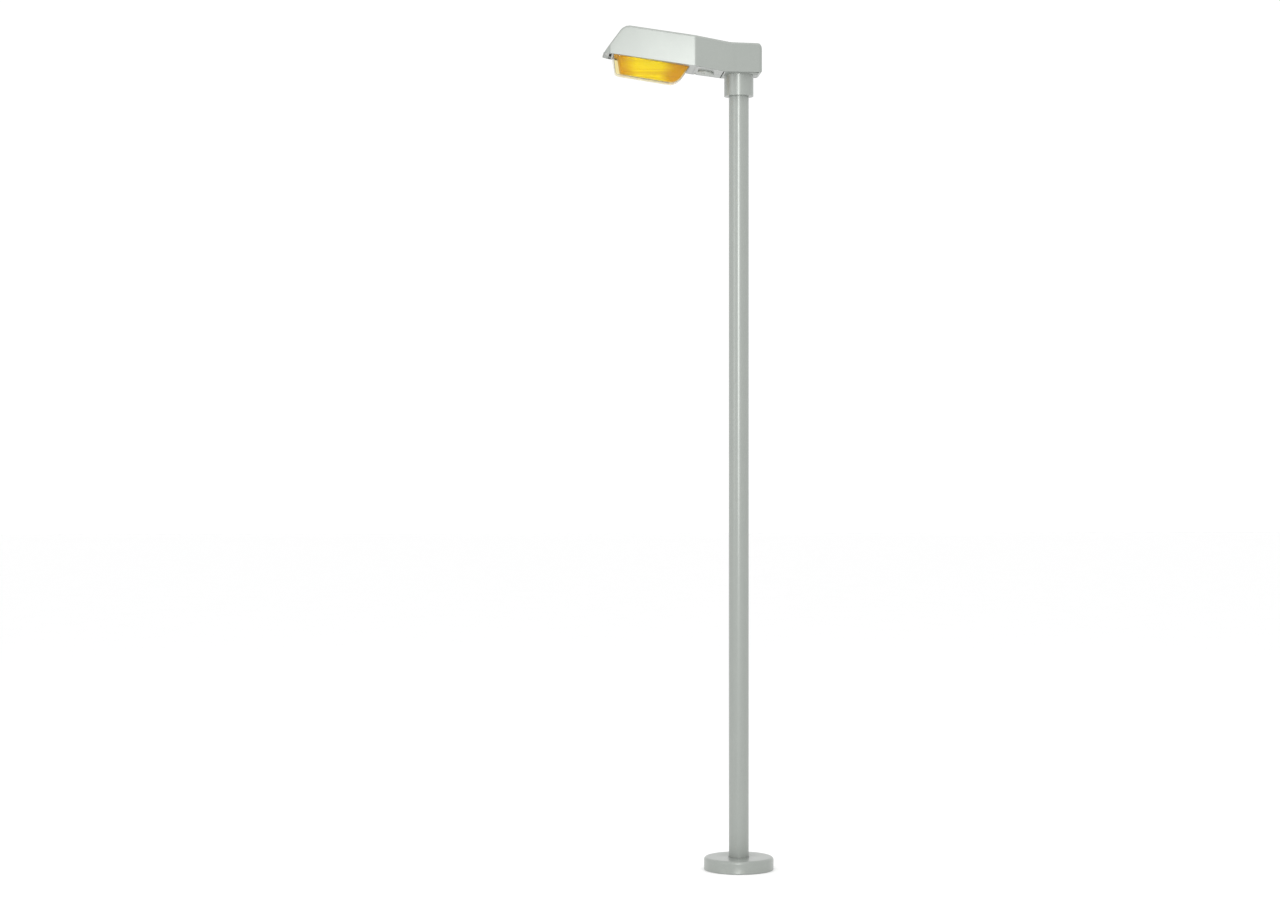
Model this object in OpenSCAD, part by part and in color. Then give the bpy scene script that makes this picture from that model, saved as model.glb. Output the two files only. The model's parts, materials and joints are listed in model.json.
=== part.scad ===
// Street lamp post: flanged tube pole with an access door, a loose base cover and one side-reaching
// head. Origin at the centre of the flange's underside, +Z up, +X along the head.

/* [Pole] */
// Outside diameter of the pole tube
pole_d = 114.3; // [108:0.1:121]
// Wall of the pole tube
pole_wall = 3.6; // [3:0.1:5]
// Height of the collar's lower edge above the ground
collar_z = 4433; // [3600:1:6000]

/* [Base] */
// Diameter of the flange plate
flange_d = 340; // [330:1:350]
// Thickness of the flange plate
flange_t = 20; // [16:1:25]
// Pitch circle of the anchor bolt holes
bolt_circle = 270; // [260:1:280]
// Diameter of each anchor bolt hole
bolt_hole_d = 24; // [20:0.5:27]
// Diameter of the cable entry through the flange
cable_entry_d = 80; // [60:1:90]
// Outside diameter of the base cover
cover_d = 400; // [390:1:440]
// Height of the base cover
cover_h = 72; // [68:1:100]
// Wall of the base cover
cover_t = 4; // [3:0.5:6]
// Radius of the base cover's upper edge
cover_round = 17; // [12:1:24]

/* [Door] */
// Height of the door opening's lower edge
door_z = 500; // [450:1:800]
// Height of the door opening
door_h = 300; // [290:1:400]
// Width of the door opening
door_w = 80; // [76:1:84]
// Gap round the door
door_gap = 1.5; // [1:0.1:2.5]

/* [Collar] */
// Outside diameter of the collar
collar_d = 168; // [150:1:180]
// Height of the collar
collar_h = 123; // [100:1:150]
// Radial clearance between the collar and the pole
collar_gap = 0.5; // [0.3:0.1:1]

/* [Head] */
// How far the canopy reaches behind the pole's axis
head_back = 125; // [115:1:150]
// How far the canopy's lip reaches in front of the pole's axis
head_reach = 781; // [760:1:820]
// Distance from the pole's axis to the canopy's widest section
wide_x = 265; // [240:1:290]
// Canopy width at its rear end
back_w = 206; // [196:1:220]
// Canopy width at its widest section
wide_w = 326; // [310:1:340]
// Canopy width where its front corners begin
tip_w = 226; // [216:1:240]
// Height of the canopy above its rim
head_h = 170; // [160:1:190]
// Slope of the canopy's rim and top ahead of the pole
rise = 8.9; // [8:0.1:10]
// Slope of the canopy's front face to the ground
front_slope = 53; // [50:1:60]
// Radius where the canopy's top meets its front face
brow_round = 66; // [50:1:70]
// Radius of the canopy's upper rear edge
nape_round = 26; // [18:1:32]
// Radius of the canopy's lower rear edge
heel_round = 18; // [12:1:20]
// Wall of the canopy
shell_t = 3; // [2:0.5:4]

/* [Bowl] */
// Length of the bowl along the rim
bowl_l = 436; // [410:1:438]
// Width of the bowl at the rim
bowl_w = 196; // [180:1:198]
// Width of the bowl's flat bottom
bowl_floor_w = 116; // [90:1:130]
// Depth of the bowl below the rim
bowl_depth = 100; // [80:1:110]
// Wall of the bowl
bowl_t = 3.5; // [3:0.5:5]

/* [Hidden] */
$fn = 72;
EPS = 0.01;
RIM_KINK = 85;                         // where the level rim starts to rise
rim_z = collar_z + collar_h;
pole_r = pole_d / 2;
bore_r = pole_r - pole_wall;
collar_cap = 11;                       // plate that closes the collar's bore
pole_top = rim_z - collar_cap - 0.3;
door_top = door_z + door_h;
joint_z = door_top + 60;                // butt weld between the door section and the shaft
frame_in = bore_r - 5.5;               // inner radius of the door frame
frame_step = bore_r - 2.25;            // where the frame steps back behind the gasket
hinge_r = pole_r + 7;                  // door hinge axis, just outside the tube
hinge_a = asin((door_w / 2 + 11) / hinge_r);
hinge_x = -hinge_r * sin(hinge_a);
hinge_y = -hinge_r * cos(hinge_a);
lock_z = door_top - 24;
lip_t = shell_t;
lip_w = 10;                            // width of the canopy's lip round the underside opening
open_x0 = 8.3;                         // underside opening along the rim
open_x1 = 670;
split_x = 175;                         // where the gear cover meets the bowl frame
lid_gap = 1.5;
frame_x1 = 656;                        // front edge of the bowl frame
frame_t = 4;
bowl_x1 = 646;
bowl_x0 = bowl_x1 - bowl_l;
flange_w = 6;
bowl_pin_x = 664;
bowl_pin_z = 8;
cover_pin_x = 14;
cover_pin_z = 5;
lid_t = 2.5;
knob_x = 106;
knob_d = 92;
cam_l = 84;
catch_x = 178;
tray_z = 118;
lamp_z = 38;
holder_x = 183;
reflector_x0 = 216;
reflector_x1 = 640;
reflector_z = 13;
reflector_h = 87;
reflector_hw = 90;
top_kink = 57;                         // where the canopy's top starts to rise

// ---------- shared shapes ----------

module ring(ro, ri, h) {
    difference() {
        cylinder(r = ro, h = h);
        translate([0, 0, -1]) cylinder(r = ri, h = h + 2);
    }
}

module box(x0, x1, y0, y1, z0, z1) {
    translate([x0, y0, z0]) cube([x1 - x0, y1 - y0, z1 - z0]);
}

// everything in the head ahead of the pole is laid out along the rising rim
module on_rim() {
    translate([RIM_KINK, 0, rim_z]) rotate([0, -rise, 0]) children();
}

// a window cut toward -Y through the tube, with room to spare in depth
module door_window(w, z0, z1) {
    box(-w / 2, w / 2, -pole_r - 10, -10, z0, z1);
}

module facing_door(z) {
    translate([0, 0, z]) rotate([90, 0, 0]) children();
}

module hex(d, h) {
    cylinder(d = d, h = h, $fn = 6);
}

// ---------- base ----------

module flange_plate() {
    color("dimgray") difference() {
        union() {
            cylinder(d = flange_d, h = flange_t, $fn = 120);
            translate([0, 0, flange_t]) cylinder(r1 = pole_r + 8, r2 = pole_r + 0.1, h = 8);
        }
        translate([0, 0, -1]) cylinder(d = cable_entry_d, h = flange_t + 2);
        translate([0, 0, flange_t]) cylinder(r = pole_r, h = 10);
        for (a = [45 : 90 : 315])
            rotate(a) translate([bolt_circle / 2, 0, -1]) cylinder(d = bolt_hole_d, h = flange_t + 2);
    }
}

module base_gussets() {
    gusset_h = cover_h - cover_t - flange_t - 4;
    color("dimgray") for (a = [0 : 90 : 270])
        rotate(a) difference() {
            rotate([90, 0, 0]) translate([0, 0, -4]) linear_extrude(8)
                polygon([[pole_r + 8.2, flange_t], [flange_d / 2 - 20, flange_t],
                    [flange_d / 2 - 20, flange_t + 8], [pole_r + 10, flange_t + gusset_h],
                    [pole_r - 4, flange_t + gusset_h], [pole_r - 4, flange_t + 12],
                    [pole_r + 0.3, flange_t + 8.2]]);
            translate([0, 0, flange_t - 1]) cylinder(r = pole_r + 0.1, h = gusset_h + 2, $fn = 96);
        }
}

module base_cover() {
    r = cover_d / 2;
    lift = 0.5;
    lug_in = flange_d / 2 - 8;
    color("lightgray") {
        rotate_extrude($fn = 120) difference() {
            union() {
                translate([0, lift]) square([r, cover_h - lift - cover_round]);
                square([r - cover_round, cover_h]);
                translate([r - cover_round, cover_h - cover_round]) circle(cover_round);
            }
            translate([-1, -1]) square([pole_r + 2.5, cover_h + 2]);
            translate([-1, -1]) square([r - cover_t + 1, cover_h - cover_round + 1]);
            translate([-1, -1]) square([r - cover_round + 1, cover_h - cover_t + 1]);
            translate([r - cover_round, cover_h - cover_round]) circle(cover_round - cover_t);
        }
        for (a = [0 : 90 : 270])
            rotate(a) box(lug_in, r - cover_t + 1, -12, 12, flange_t + 0.3, flange_t + 6);
    }
}

module cover_seal() {
    color("black") translate([0, 0, cover_h - cover_t - 3]) ring(pole_r + 14, pole_r + 0.4, 3);
}

// ---------- pole ----------

module pole_door_section() {
    color("silver") difference() {
        translate([0, 0, flange_t]) ring(pole_r, bore_r, joint_z - flange_t, $fn = 96);
        door_window(door_w, door_z, door_top);
    }
}

module pole_shaft() {
    color("silver") translate([0, 0, joint_z]) ring(pole_r, bore_r, pole_top - joint_z, $fn = 96);
}

module door_frame() {
    margin = 8;
    color("dimgray") difference() {
        intersection() {
            translate([0, 0, door_z - margin]) ring(bore_r, frame_in, door_h + 2 * margin);
            door_window(door_w + 2 * margin, door_z - margin, door_top + margin);
        }
        door_window(door_w - 12, door_z + 6, door_top - 6);
        intersection() {
            translate([0, 0, door_z - margin]) ring(pole_r, frame_step, door_h + 2 * margin);
            door_window(door_w + 4, door_z - 2, door_top + 2);
        }
    }
}

module access_door() {
    color("silver") difference() {
        intersection() {
            translate([0, 0, door_z]) ring(pole_r, bore_r, door_h, $fn = 96);
            door_window(door_w - 2 * door_gap, door_z + door_gap, door_top - door_gap);
        }
        facing_door(lock_z) cylinder(r = 8, h = pole_r + 5);
    }
}

module door_gasket() {
    color("black") difference() {
        intersection() {
            translate([0, 0, door_z]) ring(bore_r - 0.05, frame_step + 0.3, door_h);
            door_window(door_w - 2 * door_gap, door_z + door_gap, door_top - door_gap);
        }
        door_window(door_w - 10, door_z + 5, door_top - 5);
    }
}

hinge_zs = [door_z + 50, door_top - 70];
barrel_h = 18;

// a barrel on the hinge axis with an arm to the tube's surface, seen with the pole toward +Y
module hinge_leaf(z, flip, gap, arm) {
    translate([hinge_x, hinge_y, z]) rotate(-hinge_a) mirror([flip, 0, 0]) difference() {
        union() {
            cylinder(r = 6, h = barrel_h, $fn = 32);
            translate([-arm, 1.5, 0]) cube([arm, 14, barrel_h]);
        }
        translate([0, 0, -1]) cylinder(r = 3.05, h = barrel_h + 2, $fn = 32);
        translate([0, hinge_r, -1]) cylinder(r = pole_r + gap, h = barrel_h + 2, $fn = 96);
    }
}

module hinge_barrels() {
    color("silver") for (z = hinge_zs) hinge_leaf(z, 0, 0.05, 14);
}

module hinge_knuckles() {
    color("silver") for (z = hinge_zs) hinge_leaf(z + barrel_h + 0.5, 1, 0.3, 24);
}

module hinge_pins() {
    color("gainsboro") for (z = hinge_zs)
        translate([hinge_x, hinge_y, z - 2]) {
            cylinder(r = 3, h = 2 * barrel_h + 4, $fn = 32);
            cylinder(r = 5, h = 1.9, $fn = 32);
        }
}

module lock_barrel() {
    color("gainsboro") facing_door(lock_z) difference() {
        union() {
            translate([0, 0, bore_r - 6]) cylinder(r = 7.9, h = pole_r - bore_r + 6.1);
            translate([0, 0, pole_r + 0.1]) cylinder(r = 11, h = 3);
        }
        translate([0, 0, bore_r - 7]) cylinder(r = 4.05, h = 20);
        translate([0, 0, pole_r + 0.6]) cylinder(r = 6.5, h = 4);
    }
}

module lock_nut() {
    color("silver") facing_door(lock_z) translate([0, 0, bore_r - 5.6]) difference() {
        hex(24, 3.6);
        translate([0, 0, -1]) cylinder(r = 7.95, h = 6);
    }
}

module lock_spindle() {
    color("silver") facing_door(lock_z) {
        translate([0, 0, bore_r - 19.3]) cylinder(r = 4, h = pole_r - bore_r + 19.9, $fn = 48);
        translate([0, 0, pole_r + 0.6]) cylinder(r = 5.5, h = 2.3, $fn = 3);
    }
}

module lock_cam() {
    color("dimgray") facing_door(lock_z) translate([0, 0, bore_r - 15.4]) difference() {
        union() {
            cylinder(r = 7, h = 3);
            box(0, 24, -5, 5, 0, 3);
        }
        translate([0, 0, -1]) cylinder(r = 4.02, h = 5, $fn = 48);
    }
    color("dimgray") facing_door(lock_z) translate([0, 0, bore_r - 18.7]) difference() {
        hex(13, 3.2);
        translate([0, 0, -1]) cylinder(r = 4.02, h = 5, $fn = 48);
    }
}

// ---------- inside the door ----------

board_w = 70;
board_z0 = door_z + 12;
board_z1 = door_top - 12;
board_y = 20;
board_t = 8;
cutout_z0 = door_z + 90;
cutout_z1 = door_z + 240;
carrier_z0 = cutout_z0 + 45;
carrier_h = 60;
carrier_w = 36;
carrier_front = -24;
carrier_back = 4;

module backboard_rails() {
    color("dimgray") for (z = [board_z0 + 6, board_z1 - 26])
        intersection() {
            cylinder(r = bore_r, h = door_top + 100);
            box(-pole_r, pole_r, board_y + board_t, board_y + board_t + 6, z, z + 20);
        }
}

module backboard() {
    color("peru") box(-board_w / 2, board_w / 2, board_y, board_y + board_t, board_z0, board_z1);
}

module backboard_screws() {
    color("silver") for (x = [-27, 27], z = [board_z0 + 16, board_z1 - 16])
        translate([x, board_y, z]) rotate([90, 0, 0]) cylinder(r = 4, h = 3, $fn = 24);
}

module cutout_base() {
    color("gray") difference() {
        box(-28, 28, -12, board_y, cutout_z0, cutout_z1);
        box(-carrier_w / 2 - 0.3, carrier_w / 2 + 0.3, -20, carrier_back + 0.3,
            carrier_z0 - 0.3, carrier_z0 + carrier_h + 0.3);
    }
}

module fuse_carrier() {
    color("dimgray") difference() {
        union() {
            box(-carrier_w / 2, carrier_w / 2, carrier_front + 6, carrier_back,
                carrier_z0, carrier_z0 + carrier_h);
            box(-5, 5, carrier_front, carrier_front + 7, carrier_z0 + 8, carrier_z0 + carrier_h - 8);
        }
        translate([0, -5, carrier_z0 + 10]) cylinder(r = 7.05, h = carrier_h);
    }
}

module fuse_link() {
    color("white") translate([0, -5, carrier_z0 + 10]) cylinder(r = 7, h = carrier_h - 14);
}

module cutout_terminals() {
    color("gold") for (x = [-19 : 19 : 19])
        difference() {
            box(x - 5, x + 5, -20, -12, cutout_z0 + 14, cutout_z0 + 28);
            translate([x, -16, cutout_z0 + 10]) cylinder(r = 2.5, h = 30, $fn = 24);
        }
}

module earth_stud() {
    color("gold") translate([-bore_r, 0, door_z + 30]) rotate([0, 90, 0]) {
        translate([0, 0, 0.4]) cylinder(r = 4, h = 18, $fn = 32);
        translate([0, 0, 5]) hex(13, 6.5);
    }
}

module cable_gland() {
    color("dimgray") translate([0, 0, cutout_z1]) difference() {
        union() {
            hex(26, 8);
            cylinder(r = 10.5, h = 20);
        }
        translate([0, 0, -1]) cylinder(r = 6.05, h = 30);
    }
}

module pole_cable() {
    color("black") translate([0, 0, cutout_z1 + 0.3]) cylinder(r = 6, h = pole_top - cutout_z1 + 2, $fn = 32);
}

module pole_grommet() {
    color("black") translate([0, 0, pole_top - 14]) ring(bore_r - 0.05, 6.05, 12);
}

// ---------- head fixing ----------

bolt_ring = (pole_r + collar_gap + collar_d / 2) / 2;   // middle of the collar wall
screw_angles = [-45, -135];
screw_zs = [28, 78];

module collar() {
    color("silver") translate([0, 0, collar_z]) difference() {
        cylinder(d = collar_d, h = collar_h, $fn = 96);
        translate([0, 0, -1]) cylinder(r = pole_r + collar_gap, h = collar_h - collar_cap + 1);
        translate([0, 0, -1]) cylinder(r = 16, h = collar_h + 2);
        for (a = [45 : 90 : 315])
            rotate(a) translate([bolt_ring, 0, collar_h - 30]) cylinder(r = 4.05, h = 31, $fn = 32);
        for (a = screw_angles, z = screw_zs)
            rotate(a) translate([pole_r - 4, 0, z]) rotate([0, 90, 0])
                cylinder(r = 5.05, h = collar_d / 2 - pole_r + 8, $fn = 32);
    }
}

module set_screws() {
    color("gainsboro") for (a = screw_angles, z = screw_zs)
        translate([0, 0, collar_z + z]) rotate(a) difference() {
            translate([pole_r + 0.5, 0, 0]) rotate([0, 90, 0])
                cylinder(r = 5, h = collar_d / 2 - pole_r - 3, $fn = 32);
            translate([collar_d / 2 - 8, 0, 0]) rotate([0, 90, 0]) hex(6, 10);
        }
}

module spigot_plate() {
    color("dimgray") translate([0, 0, rim_z + lip_t]) difference() {
        box(-85, 80, -78, 78, 0, 6);
        translate([0, 0, -1]) cylinder(r = 16, h = 8);
        for (a = [45 : 90 : 315])
            rotate(a) translate([bolt_ring, 0, -1]) cylinder(r = 4.3, h = 8, $fn = 32);
    }
}

module collar_bolts() {
    seat = rim_z + lip_t + 6;
    color("silver") for (a = [45 : 90 : 315])
        rotate(a) translate([bolt_ring, 0, 0]) {
            translate([0, 0, seat - 34]) cylinder(r = 4, h = 34 + EPS, $fn = 32);
            translate([0, 0, seat]) hex(15, 5.3);
        }
}

// ---------- canopy ----------

// outline seen from above: round corners at the rear, a soft shoulder, rounder corners in front
module plan(inset) {
    offset(delta = -inset) hull() for (s = [-1, 1]) {
        translate([25 - head_back, s * (back_w / 2 - 25)]) circle(25, $fn = 48);
        translate([wide_x, s * (wide_w / 2 - 60)]) circle(60, $fn = 96);
        translate([head_reach - 45, s * (tip_w / 2 - 45)]) circle(45, $fn = 72);
    }
}

function unit(v) = v / norm(v);

// the corner at c, between straight runs from p and to q, rounded with radius r
function bend(p, c, q, r) =
    let (a = unit(p - c), b = unit(q - c), half = acos(a * b) / 2)
    let (mid = c + unit(a + b) * r / sin(half), from = c + a * r / tan(half), to = c + b * r / tan(half))
    [for (i = [0 : 8]) mid + r * unit((from - mid) * (8 - i) + (to - mid) * i)];

// outline seen from the side: level rear, rising top, rounded brow and a sloping front face
module profile(inset) {
    slope = tan(rise);
    face = tan(front_slope);
    tip_z = slope * (head_reach - RIM_KINK);
    brow_x = (tip_z + head_reach * face - head_h + top_kink * slope) / (face + slope);
    tip = [head_reach, tip_z];
    brow = [brow_x, head_h + slope * (brow_x - top_kink)];
    crown = [top_kink, head_h];
    nape = [-head_back, head_h];
    heel = [-head_back, 0];
    translate([0, rim_z]) offset(delta = -inset) polygon(concat([[RIM_KINK, 0], tip],
        bend(tip, brow, crown, brow_round), bend(brow, crown, nape, 240),
        bend(crown, nape, heel, nape_round), bend(nape, heel, [RIM_KINK, 0], heel_round)));
}

module head_form(inset) {
    intersection() {
        translate([0, 0, rim_z - 10]) linear_extrude(head_h + 200) plan(inset);
        rotate([90, 0, 0]) translate([0, 0, -wide_w]) linear_extrude(2 * wide_w) profile(inset);
    }
}

// a flat lid in the underside opening, between two places along the rim
module lid(inset, x0, x1, z0, z1) {
    intersection() {
        translate([0, 0, rim_z - 50]) linear_extrude(head_h + 240) plan(inset);
        on_rim() box(x0, x1, -wide_w, wide_w, z0, z1);
    }
}

// cast posts from the roof down to the gear tray and the reflector
module canopy_posts() {
    roof = (head_h + (RIM_KINK - top_kink) * tan(rise)) * cos(rise) - shell_t + 1.5;
    on_rim() {
        for (x = [20, 150], y = [-88, 88])
            translate([x, y, tray_z + 2]) cylinder(r = 8, h = roof - tray_z - 2);
        for (x = [300, 540])
            translate([x, 0, reflector_z + reflector_h]) cylinder(r = 7, h = roof - reflector_z - reflector_h);
    }
}

module canopy() {
    color("lightgray") {
        difference() {
            head_form(0);
            head_form(shell_t);
            lid(lip_w, open_x0, open_x1, -5, lip_t + 3);
            translate([0, 0, rim_z - 1]) cylinder(r = 16, h = lip_t + 2);
            for (a = [45 : 90 : 315])
                rotate(a) translate([bolt_ring, 0, rim_z - 1]) cylinder(r = 4.3, h = lip_t + 2, $fn = 32);
        }
        canopy_posts();
        for (flip = [0, 1])
            on_rim() mirror([0, flip, 0]) box(150, 166, 126, 157.3, lip_t, lip_t + 4);
    }
}

// ---------- gear ----------

module gear_tray() {
    color("silver") on_rim() difference() {
        box(0, 208, -108, 108, tray_z, tray_z + 2);
        for (x = [20, 150], y = [-88, 88]) translate([x, y, tray_z - 1]) cylinder(r = 2.6, h = 4, $fn = 24);
    }
}

module tray_screws() {
    color("gainsboro") on_rim() for (x = [20, 150], y = [-88, 88])
        translate([x, y, tray_z - 3]) cylinder(r = 5, h = 3, $fn = 24);
}

module ballast() {
    color("saddlebrown") on_rim() {
        box(44, 126, -100, -34, tray_z - 52, tray_z);
        box(30, 140, -88, -46, tray_z - 42, tray_z - 10);
    }
}

module capacitor() {
    color("white") on_rim() translate([30, 76, tray_z - 18.2]) rotate([0, 90, 0]) cylinder(r = 18, h = 84);
}

module ignitor() {
    color("dimgray") on_rim() box(40, 122, 12, 46, tray_z - 30, tray_z);
}

module terminal_block() {
    color("white") on_rim() difference() {
        box(166, 186, 30, 86, tray_z - 18, tray_z);
        for (y = [37 : 14 : 79])
            translate([160, y, tray_z - 9]) rotate([0, 90, 0]) cylinder(r = 2.4, h = 30, $fn = 20);
    }
}

module head_cable() {
    turn = 40;
    top_z = rim_z + 60;
    color("black") {
        translate([0, 0, pole_top + 2.6]) cylinder(r = 6, h = top_z - pole_top - 2.6, $fn = 32);
        translate([turn, 0, top_z]) rotate([90, 0, 180])
            rotate_extrude(angle = 90) translate([turn, 0]) circle(6, $fn = 32);
        translate([turn, 0, top_z + turn]) rotate([0, 90, 0]) cylinder(r = 6, h = 50, $fn = 32);
    }
}

module cable_clamp() {
    z = rim_z + lip_t + 6;
    color("gray") difference() {
        box(-24, 10, -12, 12, z, z + 30);
        translate([0, 0, z - 1]) cylinder(r = 6.05, h = 40);
        translate([0, -7, z - 1]) cube([20, 14, 40]);
    }
}

module along_rim(x, z) {
    on_rim() translate([x, 0, z]) rotate([0, 90, 0]) children();
}

module lampholder_bracket() {
    color("silver") difference() {
        on_rim() box(holder_x - 3, holder_x, -22, 22, 14, tray_z);
        along_rim(holder_x - 5, lamp_z) cylinder(r = 5, h = 8, $fn = 32);
    }
}

module lampholder() {
    color("white") along_rim(holder_x, lamp_z) difference() {
        cylinder(r = 25, h = 62);
        translate([0, 0, 16]) cylinder(r = 19.6, h = 60);
    }
}

module lamp_cap() {
    color("goldenrod") along_rim(holder_x + 16.4, lamp_z) cylinder(r = 19.5, h = 46);
}

module lamp_glass() {
    color("white", 0.4) along_rim(holder_x + 62.4, lamp_z) rotate_extrude() difference() {
        union() {
            square([23, 165]);
            translate([0, 165]) intersection() { circle(23); square(23); }
        }
        translate([-1, 1.5]) square([22.5, 163.5]);
        translate([0, 165]) circle(21.5);
        translate([-30, -1]) square([30, 200]);
    }
}

module arc_tube() {
    color("ivory") along_rim(holder_x + 104, lamp_z) cylinder(r = 5, h = 86, $fn = 32);
}

module lamp_wires() {
    color("silver") {
        along_rim(holder_x + 63.95, lamp_z + 9) cylinder(r = 1.2, h = 140, $fn = 16);
        for (x = [holder_x + 102.6, holder_x + 191.4])
            on_rim() translate([x, 0, lamp_z - 4]) cylinder(r = 1.2, h = 14, $fn = 16);
    }
}

function arch(w, h) = [for (a = [0 : 7.5 : 180]) [w * cos(a), h * sin(a)]];

module reflector_prism(inset, x0, x1) {
    on_rim() translate([x0, 0, reflector_z]) rotate([90, 0, 90]) linear_extrude(x1 - x0)
        polygon(arch(reflector_hw - inset, reflector_h - inset));
}

module reflector() {
    color("whitesmoke") difference() {
        union() {
            reflector_prism(0, reflector_x0, reflector_x1);
            on_rim() box(reflector_x0 - 6, reflector_x1 + 6, -reflector_hw - 8, reflector_hw + 8,
                reflector_z, reflector_z + 1.6);
        }
        reflector_prism(1.6, reflector_x0 + 1.6, reflector_x1 - 1.6);
        along_rim(reflector_x0 - 8, lamp_z) cylinder(r = 25.5, h = 11);
        on_rim() box(reflector_x0 + 1.6, reflector_x1 - 1.6, -reflector_hw + 2, reflector_hw - 2,
            reflector_z - 1, reflector_z + 1);
    }
}

// ---------- gear cover and its latch ----------

// an ear standing on a lid, round a pin that lies along Y
module ear(x, z, y0, y1, r, foot_x0, foot_x1, foot_z) {
    on_rim() difference() {
        union() {
            translate([x, y1, z]) rotate([90, 0, 0]) cylinder(r = r, h = y1 - y0, $fn = 32);
            box(foot_x0, foot_x1, y0, y1, foot_z, z);
        }
        translate([x, y1 + 1, z]) rotate([90, 0, 0]) cylinder(r = 3.05, h = y1 - y0 + 2, $fn = 32);
    }
}

module cross_pin(x, z, y0, y1) {
    on_rim() translate([x, y1, z]) rotate([90, 0, 0]) cylinder(r = 3, h = y1 - y0, $fn = 32);
}

module gear_cover() {
    color("lightgray") {
        difference() {
            lid(lip_w + lid_gap, cover_pin_x, split_x - 1, 0, lid_t);
            on_rim() translate([knob_x, 0, -1]) cylinder(r = 8.05, h = 6);
            on_rim() for (y = [-136, 136]) translate([158, y, -1]) cylinder(r = 3.1, h = 6, $fn = 24);
            on_rim() for (y = [-113, 98]) box(cover_pin_x - 1, cover_pin_x + 6.5, y, y + 15, -1, lid_t + 1);
        }
        for (y = [-106, 98])
            ear(cover_pin_x, cover_pin_z, y, y + 8, 5, cover_pin_x, cover_pin_x + 8, 0);
    }
}

module cover_hinge_brackets() {
    color("silver") for (y = [-112, 106.5]) {
        ear(cover_pin_x, cover_pin_z, y, y + 5.5, 5, cover_pin_x - 5, cover_pin_x, lip_t + 1);
        on_rim() box(cover_pin_x - 13, cover_pin_x - 4, y, y + 5.5, lip_t + 0.2, lip_t + 7);
    }
}

module cover_hinge_pins() {
    color("gainsboro") for (y = [-111, 98]) cross_pin(cover_pin_x, cover_pin_z, y, y + 13);
}

module cover_screws() {
    color("gainsboro") on_rim() for (y = [-136, 136]) translate([158, y, 0]) {
        translate([0, 0, -3]) cylinder(r = 6, h = 2.95, $fn = 32);
        translate([0, 0, -0.1]) cylinder(r = 3, h = lid_t, $fn = 24);
    }
}

module latch_knob() {
    color("gray") on_rim() translate([knob_x, 0, 0]) {
        translate([0, 0, -11]) cylinder(d = knob_d, h = 10.7);
        translate([0, 0, -0.4]) cylinder(r = 8, h = 10);
    }
}

module latch_cam() {
    color("silver") on_rim() translate([knob_x, 0, lid_t + 2.5]) difference() {
        union() {
            cylinder(r = 14, h = 4);
            box(-10, 10, 0, cam_l, 0, 4);
        }
        translate([0, 0, -1]) cylinder(r = 8.02, h = 6);
    }
}

// ---------- bowl ----------

// solid form of the bowl: broad at the rim, a flat narrow floor, a well-rounded rear corner
module bowl_form(inset) {
    lean_rear = 52;
    lean_front = 30;
    r_rear = 40 - inset;
    r_front = 12 - inset;
    floor_z = -bowl_depth + inset;
    on_rim() hull() for (s = [-1, 1]) {
        translate([bowl_x0 + 18, s * (bowl_w / 2 - 18), 0]) cylinder(r = 18 - inset, h = 7);
        translate([bowl_x1 - 18, s * (bowl_w / 2 - 18), 0]) cylinder(r = 18 - inset, h = 7);
        translate([bowl_x0 + lean_rear + 30, s * (bowl_floor_w / 2 - 20), floor_z + r_rear])
            sphere(r_rear, $fn = 40);
        translate([bowl_x1 - lean_front - 12, s * (bowl_floor_w / 2 - 12), floor_z + r_front])
            sphere(r_front, $fn = 32);
    }
}

module flange_ring(inset, grow, z, t) {
    difference() {
        intersection() {
            lid(lip_w + lid_gap, bowl_x0 - grow, bowl_x1 + grow, z, z + t);
            on_rim() box(bowl_x0 - 10, bowl_x1 + 10, -bowl_w / 2 - grow, bowl_w / 2 + grow, z - 1, z + t + 1);
        }
        on_rim() box(bowl_x0 + inset, bowl_x1 - inset, -bowl_w / 2 + inset, bowl_w / 2 - inset,
            z - 1, z + t + 1);
    }
}

module bowl() {
    color("lightyellow", 0.5) {
        difference() {
            bowl_form(0);
            bowl_form(bowl_t);
            on_rim() box(bowl_x0 + 5, bowl_x1 - 5, -bowl_w / 2 + 5, bowl_w / 2 - 5, 6, 9);
        }
        flange_ring(3, flange_w, frame_t, 3);
    }
}

module refractor() {
    color("gold", 0.8) {
        difference() {
            bowl_form(8);
            bowl_form(10);
            on_rim() box(bowl_x0 + 11, bowl_x1 - 11, -bowl_w / 2 + 11, bowl_w / 2 - 11, 6, 9);
        }
        flange_ring(9, flange_w - 2, frame_t + 3, 2);
    }
}

module bowl_gasket() {
    color("black") flange_ring(2, flange_w - 1, frame_t + 5, 3);
}

module bowl_frame() {
    ear_y = [-71.5, 60];
    color("silver") {
        difference() {
            lid(lip_w + lid_gap, split_x, frame_x1, 0, frame_t);
            on_rim() box(bowl_x0 - 0.5, bowl_x1 + 0.5, -bowl_w / 2 - 0.5, bowl_w / 2 + 0.5, -1, frame_t + 1);
        }
        for (y = ear_y)
            ear(bowl_pin_x, bowl_pin_z, y, y + 11.5, 5.5, frame_x1 - 3, bowl_pin_x, frame_t - 1);
    }
}

module bowl_catch() {
    color("silver") on_rim() {
        box(catch_x + 16, catch_x + 20, -15, 15, frame_t, frame_t + 9);
        box(catch_x, catch_x + 20, -15, 15, frame_t + 6, frame_t + 9);
    }
}

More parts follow.
